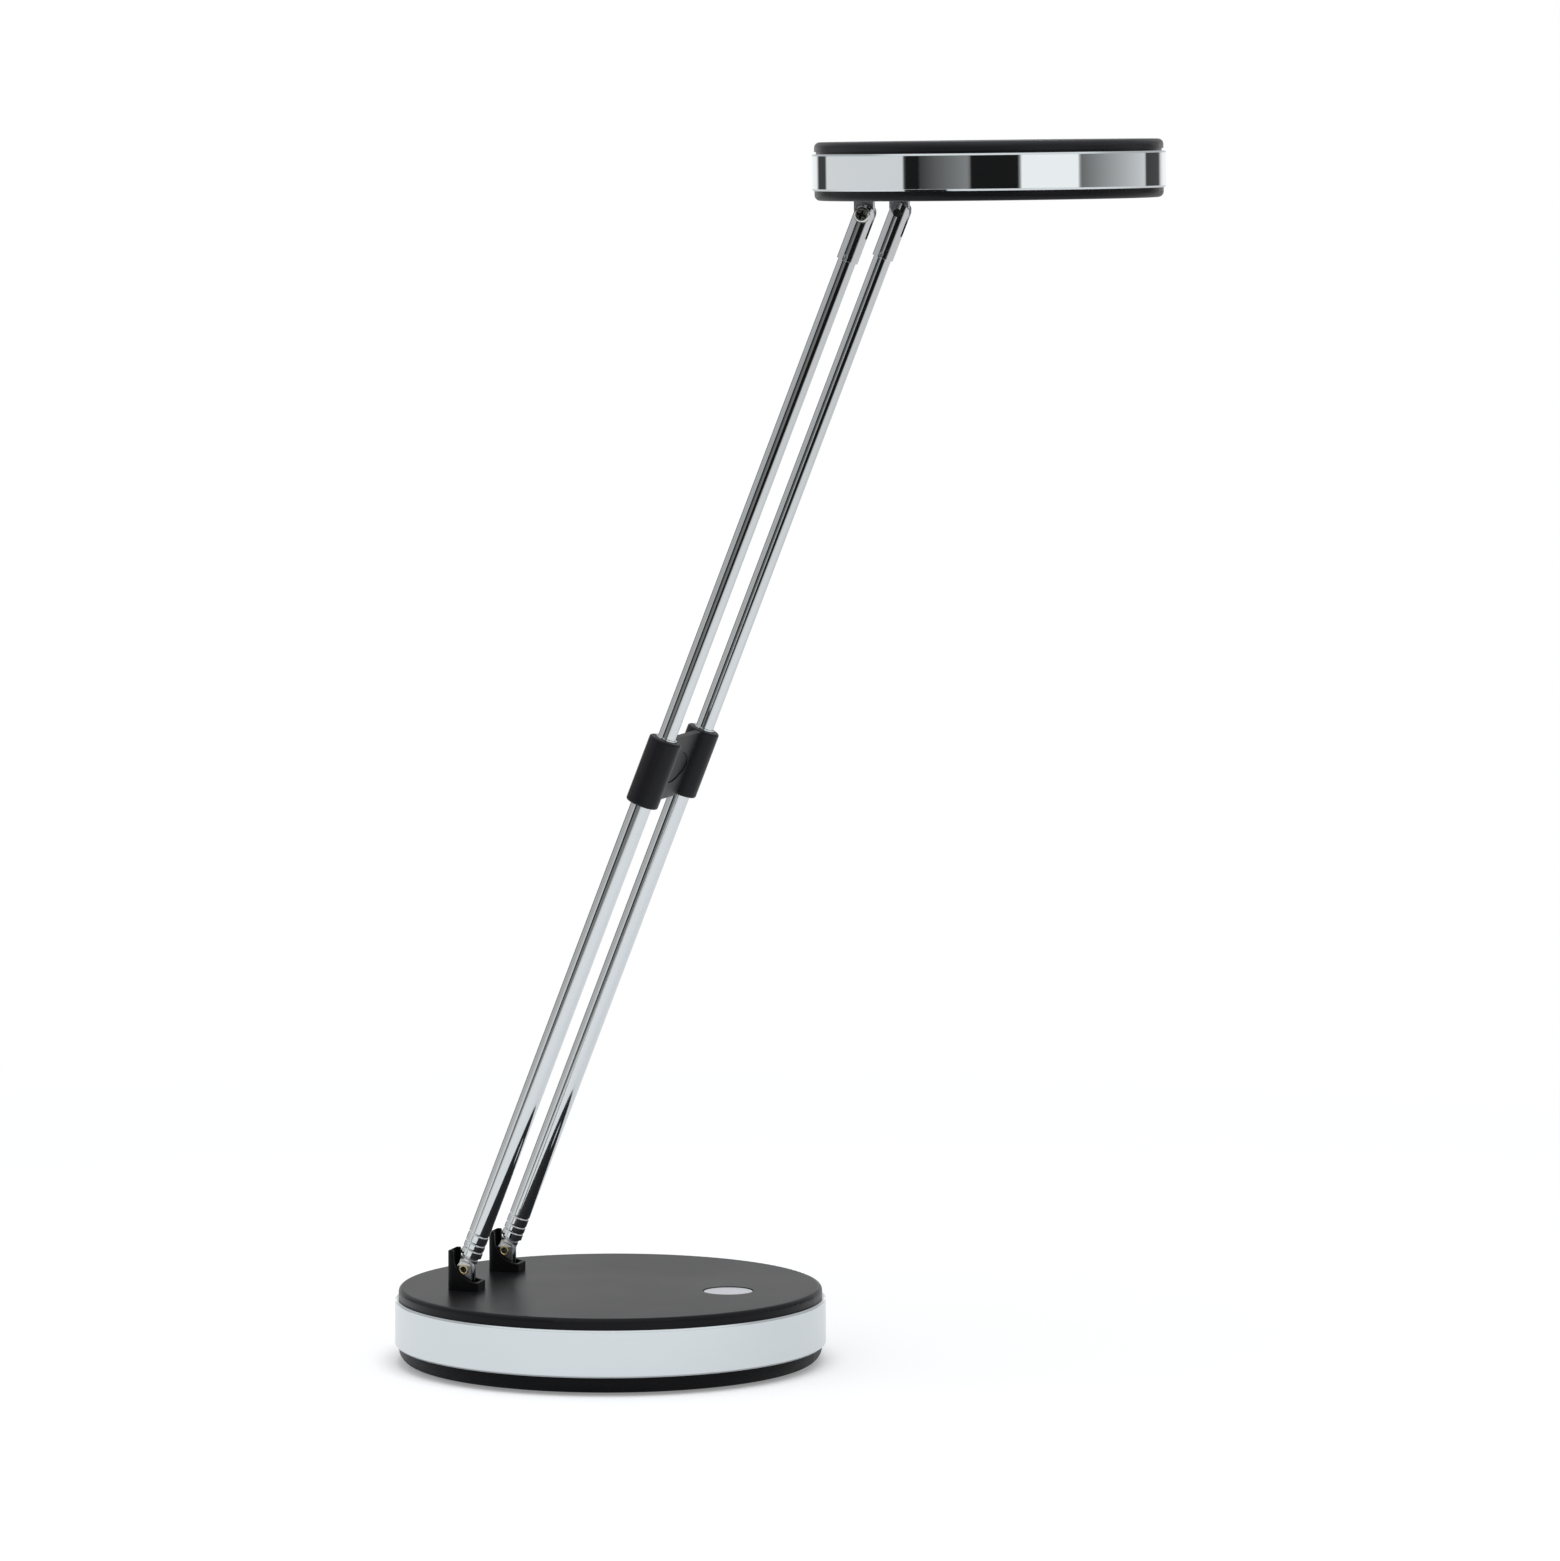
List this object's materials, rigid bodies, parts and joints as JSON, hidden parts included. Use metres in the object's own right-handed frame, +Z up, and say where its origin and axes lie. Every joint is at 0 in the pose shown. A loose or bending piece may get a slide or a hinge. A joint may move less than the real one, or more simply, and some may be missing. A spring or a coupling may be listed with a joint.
{
  "type": "telescopic desk lamp",
  "caption": "Desk lamp with a round weighted base, a push button, a folding telescopic arm of parallel chrome rods and a round flat tilting LED head.",
  "frame": {"origin": "middle of the foot pad, on the surface that the lamp stands on", "axes": "+Z up, +X from the arm pivots towards the button, +Y from the left rod to the right rod"},
  "size_m": [0.2525, 0.14, 0.3964],
  "materials": {
    "satin_black": "satin moulded plastic, near black",
    "under_black": "satin moulded plastic, near black",
    "bracket_black": "fine matt moulded plastic, black",
    "clamp_black": "satin moulded plastic, black",
    "chrome_band": "bright plated band",
    "chrome_tube": "bright plated steel tube",
    "chrome_fitting": "bright plated turned steel",
    "plated_steel": "zinc plated pressed steel",
    "screw_steel": "zinc plated screws",
    "pivot_screw": "nickel plated cross-head screws",
    "ballast_steel": "bare steel plate",
    "brass": "brass",
    "silver_button": "silver satin cap",
    "pad_rubber": "soft black foam rubber",
    "board_green": "green lacquered circuit board",
    "switch_black": "black moulded plastic",
    "plunger_white": "ivory moulded plastic",
    "inlet_black": "black moulded plastic",
    "diffuser_opal": "opal frosted plastic",
    "reflector_white": "white moulded plastic",
    "led_board_white": "aluminium board with white lacquer",
    "led_yellow": "yellow phosphor",
    "spreader_alu": "bare aluminium"
  },
  "bodies": {
    "base": {"base_cover_top": "satin_black", "base_ring": "chrome_band", "base_cover_bottom": "under_black", "ballast_plate": "ballast_steel", "anti_slip_pad": "pad_rubber", "base_screws": "screw_steel", "control_board": "board_green", "board_screws": "screw_steel", "tact_switch": "switch_black", "dc_jack": "inlet_black", "jack_pin": "brass", "bracket_left": "bracket_black", "bracket_right": "bracket_black", "base_lug_left": "plated_steel", "base_lug_right": "plated_steel", "base_lug_screws": "screw_steel", "base_rivet_left": "brass", "base_rivet_right": "brass"},
    "button": {"button_cap": "silver_button", "switch_plunger": "plunger_white"},
    "lower_arm": {"lower_tube_left": "chrome_tube", "lower_tube_right": "chrome_tube", "arm_foot_left": "chrome_fitting", "arm_foot_right": "chrome_fitting", "clamp_bridge": "clamp_black"},
    "upper_arm": {"upper_tube_left": "chrome_tube", "upper_tube_right": "chrome_tube", "slide_plug_left": "brass", "slide_plug_right": "brass", "head_sleeve_left": "chrome_fitting", "head_sleeve_right": "chrome_fitting", "head_pivot_screw_left": "pivot_screw", "head_pivot_screw_right": "pivot_screw"},
    "head": {"head_cover_top": "satin_black", "head_ring": "chrome_band", "head_cover_bottom": "under_black", "head_screws": "screw_steel", "head_lug_left": "plated_steel", "head_lug_right": "plated_steel", "head_lug_screws": "screw_steel", "diffuser": "diffuser_opal", "reflector": "reflector_white", "led_board": "led_board_white", "leds": "led_yellow", "heat_spreader": "spreader_alu"}
  },
  "joints": [
    {"name": "arm_tilt", "type": "hinge", "parent": "base", "child": "lower_arm", "pos_m": [-0.0425, 0, 0.0315], "axis": [0, 1, 0], "range_deg": [-24, 65]},
    {"name": "arm_telescope", "type": "slide", "parent": "lower_arm", "child": "upper_arm", "axis": [0.3649, 0, 0.9311], "range_m": [-0.137, 0]},
    {"name": "head_tilt", "type": "hinge", "parent": "upper_arm", "child": "head", "pos_m": [0.09115, 0, 0.37255], "axis": [0, 1, 0], "range_deg": [-66, 105]},
    {"name": "button_press", "type": "slide", "parent": "base", "child": "button", "axis": [0, 0, -1], "range_m": [0, 0.0008], "stiffness_N_per_m": 2500, "springref_m": -0.0004}
  ]
}
